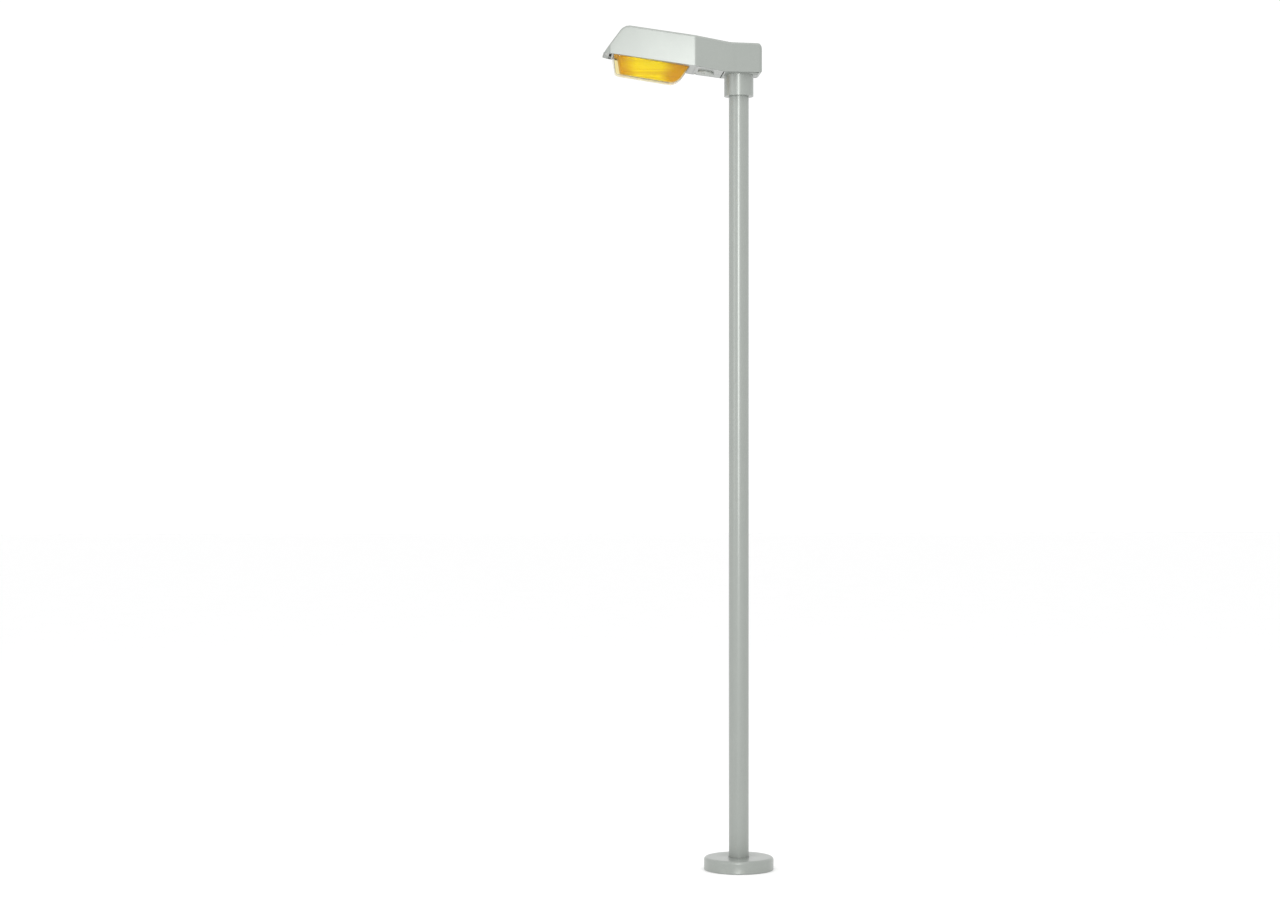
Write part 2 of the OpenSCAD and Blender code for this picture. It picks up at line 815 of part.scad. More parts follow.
module bowl_hinge_brackets() {
    color("silver") for (y = [-83, 72]) {
        ear(bowl_pin_x, bowl_pin_z, y, y + 11, 5.5, bowl_pin_x, bowl_pin_x + 6, lip_t + 0.05);
        on_rim() box(bowl_pin_x + 5.5, bowl_pin_x + 22, y, y + 11, lip_t + 0.05, bowl_pin_z + 4);
    }
}

module bowl_hinge_pins() {
    color("gainsboro") for (y = [-82, 60]) cross_pin(bowl_pin_x, bowl_pin_z, y, y + 22);
}

flange_plate();
base_gussets();
base_cover();
cover_seal();
pole_door_section();
pole_shaft();
door_frame();
access_door();
door_gasket();
hinge_barrels();
hinge_knuckles();
hinge_pins();
lock_barrel();
lock_nut();
lock_spindle();
lock_cam();
backboard_rails();
backboard();
backboard_screws();
cutout_base();
fuse_carrier();
fuse_link();
cutout_terminals();
earth_stud();
cable_gland();
pole_cable();
pole_grommet();
collar();
set_screws();
spigot_plate();
collar_bolts();
canopy();
gear_tray();
tray_screws();
ballast();
capacitor();
ignitor();
terminal_block();
head_cable();
cable_clamp();
lampholder_bracket();
lampholder();
lamp_cap();
lamp_glass();
arc_tube();
lamp_wires();
reflector();
gear_cover();
cover_hinge_brackets();
cover_hinge_pins();
cover_screws();
latch_knob();
latch_cam();
bowl_frame();
bowl();
refractor();
bowl_gasket();
bowl_catch();
bowl_hinge_brackets();
bowl_hinge_pins();
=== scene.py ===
import bpy
import bmesh
import json
import math
from mathutils import Matrix, Vector


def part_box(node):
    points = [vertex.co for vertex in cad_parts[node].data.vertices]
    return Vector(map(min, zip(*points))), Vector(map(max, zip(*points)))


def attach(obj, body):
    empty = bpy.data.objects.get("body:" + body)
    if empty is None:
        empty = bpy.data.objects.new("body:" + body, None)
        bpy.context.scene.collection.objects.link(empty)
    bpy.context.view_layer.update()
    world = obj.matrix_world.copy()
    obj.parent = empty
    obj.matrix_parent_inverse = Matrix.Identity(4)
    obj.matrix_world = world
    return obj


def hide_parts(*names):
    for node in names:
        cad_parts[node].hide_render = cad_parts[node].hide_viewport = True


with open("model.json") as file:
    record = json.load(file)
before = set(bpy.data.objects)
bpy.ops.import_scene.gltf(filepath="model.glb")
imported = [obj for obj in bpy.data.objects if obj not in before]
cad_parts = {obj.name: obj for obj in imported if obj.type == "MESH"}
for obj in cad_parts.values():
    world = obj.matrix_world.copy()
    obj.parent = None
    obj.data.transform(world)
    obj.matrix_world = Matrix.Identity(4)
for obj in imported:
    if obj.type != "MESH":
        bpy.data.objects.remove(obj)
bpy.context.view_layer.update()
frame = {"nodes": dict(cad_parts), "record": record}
nodes = frame["nodes"]


# shader helpers

class Val:
    # a socket that can be used in plain arithmetic
    def __init__(self, graph, socket):
        self.graph = graph
        self.socket = socket

    def math(self, operation, first, second):
        return self.graph.add("ShaderNodeMath", {"operation": operation}, {0: first, 1: second})

    def __add__(self, other):
        return self.math("ADD", self, other)

    def __radd__(self, other):
        return self.math("ADD", other, self)

    def __sub__(self, other):
        return self.math("SUBTRACT", self, other)

    def __rsub__(self, other):
        return self.math("SUBTRACT", other, self)

    def __mul__(self, other):
        return self.math("MULTIPLY", self, other)

    def __rmul__(self, other):
        return self.math("MULTIPLY", other, self)


class Graph:
    def __init__(self, name):
        self.material = bpy.data.materials.new(name)
        self.material.use_nodes = True
        self.tree = self.material.node_tree
        self.tree.nodes.clear()
        self.output = self.tree.nodes.new("ShaderNodeOutputMaterial")
        self.shader = self.tree.nodes.new("ShaderNodeBsdfPrincipled")
        self.tree.links.new(self.shader.outputs[0], self.output.inputs[0])
        self.place = self.add("ShaderNodeTexCoord", {}, {}, "Object")

    def add(self, kind, settings, inputs, out=0):
        node = self.tree.nodes.new(kind)
        for key, value in settings.items():
            if key == "stops":
                ramp = node.color_ramp
                while len(ramp.elements) < len(value):
                    ramp.elements.new(0.5)
                for element, (at, color) in zip(ramp.elements, value):
                    element.position = at
                    element.color = color
            else:
                setattr(node, key, value)
        for key, value in inputs.items():
            self.put(node.inputs[key], value)
        return Val(self, node.outputs[out])

    def put(self, socket, value):
        if isinstance(value, Val):
            self.tree.links.new(value.socket, socket)
        else:
            socket.default_value = value

    def set(self, **values):
        for key, value in values.items():
            self.put(self.shader.inputs[key.replace("_", " ")], value)

    def noise(self, scale, detail=4.0, roughness=0.55, stretch=None):
        place = self.place
        if stretch:
            place = self.add("ShaderNodeMapping", {}, {"Vector": place, "Scale": stretch})
        return self.add("ShaderNodeTexNoise", {}, {"Vector": place, "Scale": scale, "Detail": detail,
                                                   "Roughness": roughness})

    def mask(self, value, low, high):
        return self.add("ShaderNodeMapRange", {"interpolation_type": "SMOOTHSTEP"},
                        {"Value": value, "From Min": low, "From Max": high})

    def mix(self, factor, first, second):
        return self.add("ShaderNodeMix", {"data_type": "RGBA"}, {0: factor, 6: first, 7: second}, 2)

    def height(self):
        return self.add("ShaderNodeSeparateXYZ", {}, {0: self.place}, 2)

    def edges(self, low=0.52, high=0.62):
        return self.mask(self.add("ShaderNodeNewGeometry", {}, {}, "Pointiness"), low, high)

    def bump(self, height, strength, distance):
        self.set(Normal=self.add("ShaderNodeBump", {}, {"Strength": strength, "Distance": distance,
                                                        "Height": height}))


def shade(color, amount):
    return tuple(c * amount for c in color[:3]) + (1.0,)


# finishes

paintLook = {
    "green": (0.475, 0.505, 0.470, 1), "shade": (0.400, 0.432, 0.405, 1),
    "fleck": (0.600, 0.625, 0.590, 1), "darkFoot": (0.275, 0.285, 0.255, 1), "roughness": 0.27,
    "fleckScale": 420.0,
}


def greyPaint(name, tint, darkBelow=0.35):
    g = Graph(name)
    broad = g.noise(3.5, 5.0, 0.6)
    fleck = g.mask(g.noise(paintLook["fleckScale"], 2.0, 0.5), 0.52, 0.70)
    streak = g.noise(14.0, 4.0, 0.6, (1.0, 1.0, 0.06))
    color = g.mix(broad, shade(paintLook["green"], tint), shade(paintLook["shade"], tint * 1.08))
    color = g.mix(fleck * 0.45, color, shade(paintLook["fleck"], tint))
    color = g.mix(g.mask(streak, 0.55, 0.78) * 0.16, color, shade(paintLook["shade"], tint * 0.86))
    # darker and rougher in blotches towards the foot, below the given height
    low = 1 - g.mask(g.height(), 0.0, darkBelow)
    blotches = low * g.mask(g.noise(26.0, 6.0, 0.65), 0.42, 0.72)
    color = g.mix(blotches * 0.35, color, paintLook["darkFoot"])
    g.set(Base_Color=color, Metallic=0.22, Roughness=paintLook["roughness"] + broad * 0.08 + blotches * 0.2,
          Coat_Weight=0.18, Coat_Roughness=0.22)
    g.bump(g.noise(160.0, 3.0) * 0.6 + fleck * 0.3, 0.12, 0.0006)
    return g.material


def bareMetal(name, color, roughness, brushed=(1.0, 1.0, 1.0), scale=90.0, spangle=0.0, tarnish=0.25):
    g = Graph(name)
    grain = g.noise(scale, 5.0, 0.6, brushed)
    patch = g.noise(11.0, 4.0)
    base = g.mix(g.mask(grain, 0.35, 0.7), shade(color, 0.86), color)
    if spangle:
        cells = g.add("ShaderNodeTexVoronoi", {"feature": "F1"}, {"Vector": g.place, "Scale": 75.0}, "Color")
        cells = g.add("ShaderNodeSeparateColor", {}, {0: cells}, 0)
        base = g.mix(cells * spangle, base, shade(color, 1.35))
    base = g.mix(g.mask(patch, 0.5, 0.75) * tarnish, base, shade(color, 0.5))
    g.set(Base_Color=base, Metallic=0.95, Roughness=roughness + grain * 0.14)
    g.bump(grain, 0.10, 0.0003)
    return g.material


def moulded(name, color, roughness=0.48, scale=240.0):
    g = Graph(name)
    grain = g.noise(scale, 3.0)
    patch = g.noise(9.0, 4.0)
    base = g.mix(patch, shade(color, 0.86), shade(color, 1.08))
    # convex edges lightened: painted highlight
    base = g.mix(g.edges() * 0.35, base, shade(color, 1.6))
    g.set(Base_Color=base, Metallic=0.0, Roughness=roughness + grain * 0.12)
    g.bump(grain, 0.16, 0.0004)
    return g.material


def rubber(name):
    g = Graph(name)
    grain = g.noise(300.0, 3.0)
    blotches = g.mask(g.noise(30.0, 5.0), 0.5, 0.75)
    g.set(Base_Color=g.mix(blotches * 0.4, (0.018, 0.018, 0.019, 1), (0.09, 0.09, 0.085, 1)),
          Roughness=0.62 + grain * 0.2)
    g.bump(grain, 0.2, 0.0004)
    return g.material


def sealedBoard(name):
    g = Graph(name)
    rings = g.add("ShaderNodeTexWave", {"wave_type": "BANDS", "bands_direction": "X"},
                  {"Vector": g.place, "Scale": 34.0, "Distortion": 5.0, "Detail": 3.0, "Detail Scale": 1.4})
    rings = g.add("ShaderNodeSeparateColor", {}, {0: rings}, 0)
    fibre = g.noise(90.0, 4.0, 0.6, (1.0, 1.0, 0.05))
    base = g.mix(rings, (0.42, 0.27, 0.13, 1), (0.60, 0.43, 0.24, 1))
    base = g.mix(g.mask(fibre, 0.45, 0.75) * 0.4, base, (0.30, 0.18, 0.08, 1))
    g.set(Base_Color=base, Roughness=0.42 + fibre * 0.2, Coat_Weight=0.2, Coat_Roughness=0.3)
    g.bump(fibre, 0.2, 0.0005)
    return g.material


def glazed(name, color):
    g = Graph(name)
    speck = g.mask(g.noise(420.0, 2.0), 0.66, 0.72)
    g.set(Base_Color=g.mix(speck * 0.4, color, shade(color, 0.55)), Roughness=0.16 + g.noise(40.0) * 0.1,
          Coat_Weight=0.4, Coat_Roughness=0.08)
    g.bump(g.noise(60.0, 3.0), 0.05, 0.0005)
    return g.material


def clearGlass(name, color, roughness=0.03):
    g = Graph(name)
    haze = g.noise(35.0, 3.0)
    g.set(Base_Color=g.mix(haze, color, shade(color, 0.94)), Roughness=roughness + haze * 0.03,
          Transmission_Weight=1.0, IOR=1.45)
    return g.material


bowlLook = {
    "wall": (0.93, 0.87, 0.62, 1),
    "yellow": (0.72, 0.60, 0.004, 1), "amber": (0.50, 0.26, 0.003, 1), "deepBrown": (0.34, 0.13, 0.004, 1),
    # glow: how strongly the liner shines by itself, painted light in place of the lamp
    "glow": 0.40,
}


def bowlWall(name):
    g = Graph(name)
    haze = g.noise(22.0, 4.0)
    fine = g.noise(130.0, 3.0)
    tint = g.mix(haze, bowlLook["wall"], shade(bowlLook["wall"], 0.94))
    g.set(Base_Color=tint, Roughness=0.05 + fine * 0.08, Transmission_Weight=1.0, IOR=1.10,
          Coat_Weight=0.25, Coat_Roughness=0.06)
    g.bump(fine, 0.08, 0.0006)
    return g.material


def amberLiner(name, rear, front):
    # the liner glows by itself as painted light, bright yellow in the middle of the bowl as a painted pool of
    # lamp light and deeper amber toward both ends as painted shade, with drifts along it
    g = Graph(name)
    x = g.add("ShaderNodeSeparateXYZ", {}, {0: g.place}, 0)
    along = g.mask(x, rear, front)
    middle = 1 - g.add("ShaderNodeMath", {"operation": "ABSOLUTE"}, {0: along * 2 - 1.10})
    drift = g.noise(9.0, 5.0, 0.62, (0.45, 1.0, 2.6))
    brownPatches = g.mask(g.noise(13.0, 5.0, 0.66, (0.30, 1.0, 3.4)), 0.54, 0.70)
    # painted light: the yellow core stands for the lamp light pooled in the middle, fading to amber toward
    # the ends as painted shade
    core = g.mask(middle + drift * 0.7 - 0.35, 0.12, 0.62)
    color = g.mix(core, bowlLook["amber"], bowlLook["yellow"])
    # brown patches all along, deepened toward both ends as painted shade
    edge = 1 - g.mask(middle, 0.10, 0.62)
    color = g.mix(brownPatches * (0.18 + edge * 0.55), color, bowlLook["deepBrown"])
    lines = g.mask(g.noise(9.0, 3.0, 0.6, (0.12, 1.0, 9.0)), 0.52, 0.68)
    color = g.mix(lines * 0.38, color, bowlLook["amber"])
    # painted light: the liner glows with its own colour though it is no lamp
    g.set(Base_Color=color, Roughness=0.40 + drift * 0.16, Specular_IOR_Level=0.12,
          Emission_Color=color, Emission_Strength=bowlLook["glow"])
    g.bump(drift, 0.1, 0.002)
    return g.material


print("finishes")
bowlLow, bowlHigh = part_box("bowl")
finish = {
    # pole, base cover and head each get a copy of the one grey paint, each tint set to how brightly that part
    # is lit: painted light and shade
    "pole": greyPaint("polePaint", 0.61),
    "paint": greyPaint("basePaint", 0.60, darkBelow=0.06),
    "head_paint": greyPaint("headPaint", 0.61),
    "galvanised": bareMetal("galvanised", (0.50, 0.52, 0.52, 1), 0.42, spangle=0.35),
    "zinc": bareMetal("brightZinc", (0.66, 0.67, 0.66, 1), 0.26, (1.0, 1.0, 0.2)),
    "sheet": bareMetal("aluminiumSheet", (0.72, 0.73, 0.74, 1), 0.34, (0.08, 1.0, 1.0)),
    "mirror_sheet": bareMetal("polishedReflector", (0.88, 0.88, 0.87, 1), 0.12, (0.1, 1.0, 1.0),
                              tarnish=0.08),
    "rubber": rubber("blackRubber"),
    "cable": moulded("cableSheath", (0.022, 0.022, 0.024, 1), 0.5),
    "board": sealedBoard("sealedBoard"),
    "grey_plastic": moulded("greyMoulding", (0.13, 0.135, 0.14, 1)),
    "knob_plastic": moulded("knobMoulding", (0.40, 0.42, 0.39, 1), 0.42),
    "white_plastic": moulded("whiteMoulding", (0.74, 0.73, 0.68, 1), 0.4),
    "brass": bareMetal("brass", (0.70, 0.48, 0.19, 1), 0.3, tarnish=0.35),
    "ceramic": glazed("whiteCeramic", (0.82, 0.80, 0.74, 1)),
    "core": bareMetal("varnishedCore", (0.10, 0.065, 0.045, 1), 0.38, (1.0, 1.0, 0.1), 200.0),
    "copper": bareMetal("enamelledWire", (0.55, 0.20, 0.07, 1), 0.3, (1.0, 0.05, 1.0), 260.0),
    "lamp_glass": clearGlass("lampGlass", (0.97, 0.98, 1.0, 1)),
    "clear_bowl": bowlWall("clearBowlWall"),
    "amber": amberLiner("amberLiner", bowlLow[0], bowlHigh[0]),
}

# the tube and its door get their own copy of the grey paint, tinted a shade apart from the base cover's to
# match how brightly each is lit: painted light and shade
poleNodes = ("pole_door_section", "pole_shaft", "access_door", "hinge_barrels", "hinge_knuckles")
slotOf = {s["node"]: s["material_slot"] for s in frame["record"]["subparts"]}
for name, obj in nodes.items():
    pick = "pole" if name in poleNodes else slotOf.get(name, "zinc")
    obj.data.materials.clear()
    obj.data.materials.append(finish[pick])


# mesh helpers

rim = {"x": 0.085, "z": 4.556, "rise": 8.9}
onRim = Matrix.Translation((rim["x"], 0, rim["z"])) @ Matrix.Rotation(math.radians(-rim["rise"]), 4, "Y")
slope = math.tan(math.radians(rim["rise"]))


def alongHead(x, y, z):
    # a turned piece's place, with its axis running forward in the head
    return onRim @ Matrix.Translation((x, y, z)) @ Matrix.Rotation(math.radians(90), 4, "Y")


def makePiece(name, bm, material, body, stands=(), angle=32, place=None):
    if place:
        bmesh.ops.transform(bm, matrix=place, verts=bm.verts)
    bmesh.ops.recalc_face_normals(bm, faces=bm.faces)
    mesh = bpy.data.meshes.new(name)
    bm.to_mesh(mesh)
    bm.free()
    for polygon in mesh.polygons:
        polygon.use_smooth = True
    mesh.set_sharp_from_angle(angle=math.radians(angle))
    obj = bpy.data.objects.new(name, mesh)
    bpy.context.scene.collection.objects.link(obj)
    mesh.materials.append(finish[material])
    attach(obj, body)
    if stands:
        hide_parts(*stands)
    return obj


def arc(center, radius, start, end, steps):
    return [(center[0] + radius * math.cos(math.radians(start + (end - start) * i / steps)),
             center[1] + radius * math.sin(math.radians(start + (end - start) * i / steps)))
            for i in range(steps + 1)]


def joinRings(bm, rings):
    # faces between each ring of points and the next, with the last joined to the first
    for i, first in enumerate(rings):
        second = rings[(i + 1) % len(rings)]
        for j in range(len(first)):
            k = (j + 1) % len(first)
            bm.faces.new((first[j], second[j], second[k], first[k]))


def addLathe(bm, profile, segments, place=Matrix.Identity(4), ripple=None):
    # profile is a closed outline of (radius, height), turned about Z
    rings = []
    for i in range(segments):
        a = 2 * math.pi * i / segments
        swell = ripple(a) if ripple else 1.0
        rings.append([bm.verts.new(place @ Vector((r * swell * math.cos(a), r * swell * math.sin(a), h)))
                      for r, h in profile])
    joinRings(bm, rings)
    bmesh.ops.remove_doubles(bm, verts=bm.verts, dist=1e-6)


def addBox(bm, low, high, radius, segments, place=Matrix.Identity(4)):
    made = bmesh.ops.create_cube(bm, size=1.0)["verts"]
    size = Vector(high) - Vector(low)
    middle = (Vector(high) + Vector(low)) / 2
    for v in made:
        v.co = place @ Vector((v.co.x * size.x + middle.x, v.co.y * size.y + middle.y,
                               v.co.z * size.z + middle.z))
    if radius:
        edges = {e for v in made for e in v.link_edges}
        bmesh.ops.bevel(bm, geom=list(edges), offset=radius, segments=segments, profile=0.6, affect="EDGES")


def hullLoop(circles, step):
    # outline round a convex ring of circles, given anticlockwise as (x, y, radius); step is in degrees
    points = []
    count = len(circles)

    def leaving(a, b):
        gap = Vector((b[0] - a[0], b[1] - a[1]))
        lean = math.asin((b[2] - a[2]) / gap.length)
        return math.degrees(math.atan2(gap.y, gap.x)) - 90 - math.degrees(lean)

    for i in range(count):
        before, here, after = circles[i - 1], circles[i], circles[(i + 1) % count]
        start = leaving(before, here)
        end = leaving(here, after)
        while end < start:
            end += 360
        if end - start > 300:
            end -= 360
        steps = max(2, int((end - start) / step))
        points += arc(here[:2], here[2], start, end, steps)
    return points


headForm = {
    "back": 0.125, "reach": 0.781, "wideX": 0.265, "backWidth": 0.206, "wideWidth": 0.326, "tipWidth": 0.226,
    "height": 0.170, "topKink": 0.057, "face": 53.0, "edgeRound": 0.012, "wall": 0.003, "lip": 0.010,
    "browRound": 0.066, "crownRound": 0.240, "napeRound": 0.026, "heelRound": 0.018,
    "tipCorner": 0.045, "wideCorner": 0.060, "backCorner": 0.025, "openRear": 0.0083, "openFront": 0.670,
    "bead": 0.0022, "beadLift": 0.0012,
}


def planLoop(inset):
    # the head seen from above: narrow at the pole, widest behind the bowl's middle, narrower at the tip
    h = headForm
    circles = []
    for x, width, r in ((h["reach"] - h["tipCorner"], h["tipWidth"], h["tipCorner"]),
                        (h["wideX"], h["wideWidth"], h["wideCorner"]),
                        (h["backCorner"] - h["back"], h["backWidth"], h["backCorner"])):
        circles.append((x, width / 2 - r, r - inset))
    lower = [(x, -y, r) for x, y, r in circles[::-1]]
    return hullLoop(lower + circles, 6)


def bend(before, corner, after, radius, steps=10):
    # points round a corner of a side outline
    corner = Vector(corner)
    a = (Vector(before) - corner).normalized()
    b = (Vector(after) - corner).normalized()
    half = a.angle(b) / 2
    middle = corner + (a + b).normalized() * radius / math.sin(half)
    start = corner + a * radius / math.tan(half) - middle
    end = corner + b * radius / math.tan(half) - middle
    return [tuple(middle + (start * (steps - i) + end * i).normalized() * radius) for i in range(steps + 1)]


def sideOutline():
    # roof and rim heights as lists of (x, z), rear to front
    h = headForm
    face = math.tan(math.radians(h["face"]))
    tip = (h["reach"], rim["z"] + slope * (h["reach"] - rim["x"]))
    browX = (tip[1] - rim["z"] + h["reach"] * face - h["height"] + h["topKink"] * slope) / (face + slope)
    top = rim["z"] + h["height"]
    brow = (browX, top + slope * (browX - h["topKink"]))
    crown = (h["topKink"], top)
    nape = (-h["back"], top)
    heel = (-h["back"], rim["z"])
    floor = (rim["x"], rim["z"])
    roof = bend(heel, nape, crown, h["napeRound"]) + bend(nape, crown, brow, h["crownRound"])
    roof += bend(crown, brow, tip, h["browRound"], 14) + [tip]
    return roof, bend(nape, heel, floor, h["heelRound"]) + [floor, tip]


roofLine, rimLine = sideOutline()


def heightOn(line, x):
    if x <= line[0][0]:
        return line[0][1]
    for (x0, z0), (x1, z1) in zip(line, line[1:]):
        if x <= x1:
            return z0 + (z1 - z0) * (x - x0) / (x1 - x0)
    return line[-1][1]


def rimHeight(x):
    return heightOn(rimLine, x)


def cutAt(bm, x, keep=0):
    # keep 0 only scores the mesh, 1 drops what lies beyond x and -1 what lies before it
    bmesh.ops.bisect_plane(bm, geom=bm.verts[:] + bm.edges[:] + bm.faces[:], plane_co=(x, 0, 0),
                           plane_no=(1, 0, 0), clear_outer=keep == 1, clear_inner=keep == -1)


def canopyShell():
    # rings follow the plan up the wall, then draw in over the rounded edge; z holds the ring number at first
    h = headForm
    steps = 7
    turns = [90 * k / steps for k in range(steps + 1)]
    insets = [0.0] + [h["edgeRound"] * (1 - math.cos(math.radians(a))) for a in turns]
    drops = [h["edgeRound"] * (1 - math.sin(math.radians(a))) for a in turns]
    bm = bmesh.new()
    rings = [[bm.verts.new((x, y, k)) for x, y in planLoop(inset)] for k, inset in enumerate(insets)]
    for lower, upper in zip(rings, rings[1:]):
        for i in range(len(lower)):
            k = (i + 1) % len(lower)
            bm.faces.new((lower[i], lower[k], upper[k], upper[i]))
    bm.faces.new(rings[-1])
    for x in sorted({round(p[0], 5) for p in roofLine[1:-1] + rimLine[1:-1]}):
        cutAt(bm, x)
    for v in bm.verts:
        foot = rimHeight(v.co.x)
        level = v.co.z
        roof = heightOn(roofLine, v.co.x)
        if level <= 1:
            v.co.z = foot + (max(foot, roof - drops[0]) - foot) * level
        else:
            k = min(int(level - 1), steps - 1)
            part = level - 1 - k
            v.co.z = max(foot, roof - drops[k] * (1 - part) - drops[k + 1] * part)
    bmesh.ops.remove_doubles(bm, verts=bm.verts, dist=1e-5)
    bmesh.ops.dissolve_degenerate(bm, edges=bm.edges, dist=1e-5)
    obj = makePiece("canopyShell", bm, "head_paint", "head", ("canopy",), 16)
    wall = obj.modifiers.new("wall", "SOLIDIFY")
    wall.thickness = h["wall"]
    wall.offset = -1
    even = obj.modifiers.new("even", "WEIGHTED_NORMAL")
    even.keep_sharp = True


def loopIn(bm, points):
    made = [bm.verts.new((x, y, rimHeight(x))) for x, y in points]
    return [bm.edges.new((made[i], made[(i + 1) % len(made)])) for i in range(len(made))]


def clipLoop(points, x0, x1):
    # an outline cut square at two places along X
    bm = bmesh.new()
    bm.faces.new([bm.verts.new((x, y, 0)) for x, y in points])
    cutAt(bm, x1, 1)
    cutAt(bm, x0, -1)
    face = bm.faces[:][0]
    loop = [(v.co.x, v.co.y) for v in face.verts]
    bm.free()
    return loop


def tidyLoop(points):
    # the loop without points that almost coincide
    kept = []
    for p in points:
        if not kept or math.dist(p, kept[-1]) > 4e-4:
            kept.append(p)
    if math.dist(kept[0], kept[-1]) < 4e-4:
        kept.pop()
    return kept


def rimX(along):
    return rim["x"] + along * math.cos(math.radians(rim["rise"]))


def canopyLip():
    # the closed underside round the opening, with a turned-up edge
    h = headForm
    bm = bmesh.new()
    outer = tidyLoop(planLoop(0.0))
    inner = tidyLoop(clipLoop(tidyLoop(planLoop(h["lip"])), rimX(h["openRear"]), rimX(h["openFront"])))
    edges = loopIn(bm, outer) + loopIn(bm, inner)
    bmesh.ops.triangle_fill(bm, use_beauty=True, use_dissolve=False, edges=edges)
    for x, _ in rimLine[1:-1]:
        cutAt(bm, x)
    for v in bm.verts:
        v.co.z = rimHeight(v.co.x)
    plate = makePiece("canopyLip", bm, "head_paint", "head", (), 30)
    wall = plate.modifiers.new("wall", "SOLIDIFY")
    wall.thickness = h["wall"]
    wall.offset = 1 if plate.data.polygons[0].normal.z > 0 else -1
    bead = bpy.data.curves.new("rimBead", "CURVE")
    bead.dimensions = "3D"
    bead.bevel_depth = h["bead"]
    bead.bevel_resolution = 3
    line = bead.splines.new("POLY")
    path = tidyLoop(planLoop(h["bead"]))
    line.points.add(len(path) - 1)
    for point, (x, y) in zip(line.points, path):
        point.co = (x, y, rimHeight(x) + h["beadLift"], 1)
    line.use_cyclic_u = True
    beadObj = bpy.data.objects.new("rimBead", bead)
    bpy.context.scene.collection.objects.link(beadObj)
    bead.materials.append(finish["head_paint"])
    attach(beadObj, "head")


castings = {
    "roof": 0.1703, "trayXs": (0.020, 0.150), "trayY": 0.088, "traySeat": 0.120, "lampXs": (0.300, 0.540),
    "lampSeat": 0.1005, "ledgeX": (0.150, 0.166), "ledgeY": (0.126, 0.146), "ledgeZ": (0.003, 0.007),
    "ribXs": (0.24, 0.36, 0.48, 0.60), "ribHalf": 0.105, "ribThick": 0.003, "ribDeep": (0.010, 0.001),
}


def addPost(bm, x, y, seat, foot, top):
    # a post that widens from foot to top, between its seat and the roof
    roof = castings["roof"]
    outline = [(0, seat), (foot, seat), (top, roof), (0, roof)]
    addLathe(bm, outline, 24, onRim @ Matrix.Translation((x, y, 0)))


def canopyFrame():
    # cast posts, ledges and ribs inside the shell
    c = castings
    bm = bmesh.new()
    for x in c["trayXs"]:
        for y in (-c["trayY"], c["trayY"]):
            addPost(bm, x, y, c["traySeat"], 0.008, 0.0095)
    for x in c["lampXs"]:
        addPost(bm, x, 0, c["lampSeat"], 0.007, 0.009)
    for side in (-1, 1):
        y = sorted(side * edge for edge in c["ledgeY"])
        low, high = zip(c["ledgeX"], y, c["ledgeZ"])
        addBox(bm, low, high, 0.0008, 2, onRim)
    for x in c["ribXs"]:
        half = c["ribThick"] / 2
        low = (x - half, -c["ribHalf"], c["roof"] - c["ribDeep"][0])
        high = (x + half, c["ribHalf"], c["roof"] - c["ribDeep"][1])
        addBox(bm, low, high, 0.0006, 1, onRim)
    makePiece("canopyRibs", bm, "head_paint", "head")


bowlForm = {
    "x1": 0.646, "length": 0.436, "halfWidth": 0.098, "floorHalfWidth": 0.058, "depth": 0.100, "wall": 0.0035,
    "leanRear": 0.052, "leanFront": 0.030, "rearRound": 0.042, "frontRound": 0.013, "sideRound": 0.016,
    "corner": 0.018, "flange": 0.006, "linerGap": 0.007, "linerFront": 0.024, "ripple": 0.0007,
    "wallRise": 0.0055, "linerRise": 0.0080, "linerWall": 0.0018, "linerFlange": 0.004, "straight": 0.56,
}


def roundedRect(x0, x1, half, r):
    # the straight sides are cut into short stretches, so that they can ripple
    perSide = 14
    points = []
    for cx, cy, a in ((x1 - r, half - r, 0), (x0 + r, half - r, 90),
                      (x0 + r, r - half, 180), (x1 - r, r - half, 270)):
        points += arc((cx, cy), r, a, a + 90, 6)
    dense = []
    for i, p in enumerate(points):
        q = points[(i + 1) % len(points)]
        gap = math.dist(p, q)
        steps = perSide if gap > 0.02 else 1
        dense += [(p[0] + (q[0] - p[0]) * k / steps, p[1] + (q[1] - p[1]) * k / steps) for k in range(steps)]
    return dense


def bowlRing(depth, inset, wave, front):
    # outline of the bowl at a depth below its rim, drawn in by inset, and further at the front
    b = bowlForm
    full = b["depth"] - inset
    t = depth / b["depth"]

    def tuck(radius):
        r = max(radius - inset, 0.002)
        below = max(0.0, depth - (full - r)) / r
        return r * (1 - math.sqrt(max(0.0, 1 - min(below, 1.0) ** 2)))

    x0 = b["x1"] - b["length"] + b["leanRear"] * t + tuck(b["rearRound"]) + inset
    x1 = b["x1"] - b["leanFront"] * t - tuck(b["frontRound"]) - inset - front
    half = b["halfWidth"] - (b["halfWidth"] - b["floorHalfWidth"]) * t - tuck(b["sideRound"]) - inset
    return roundedRect(x0 - wave, x1 + wave, half + wave, max(b["corner"] - inset, 0.004))


def bowlDepths(inset):
    # even steps down the wall, then closer ones round to the floor
    full = bowlForm["depth"] - inset
    share = bowlForm["straight"]
    wall = [full * share * k / 10 for k in range(11)]
    return wall + [full * (share + (1 - share) * math.sin(math.radians(90 * k / 14))) for k in range(1, 15)]


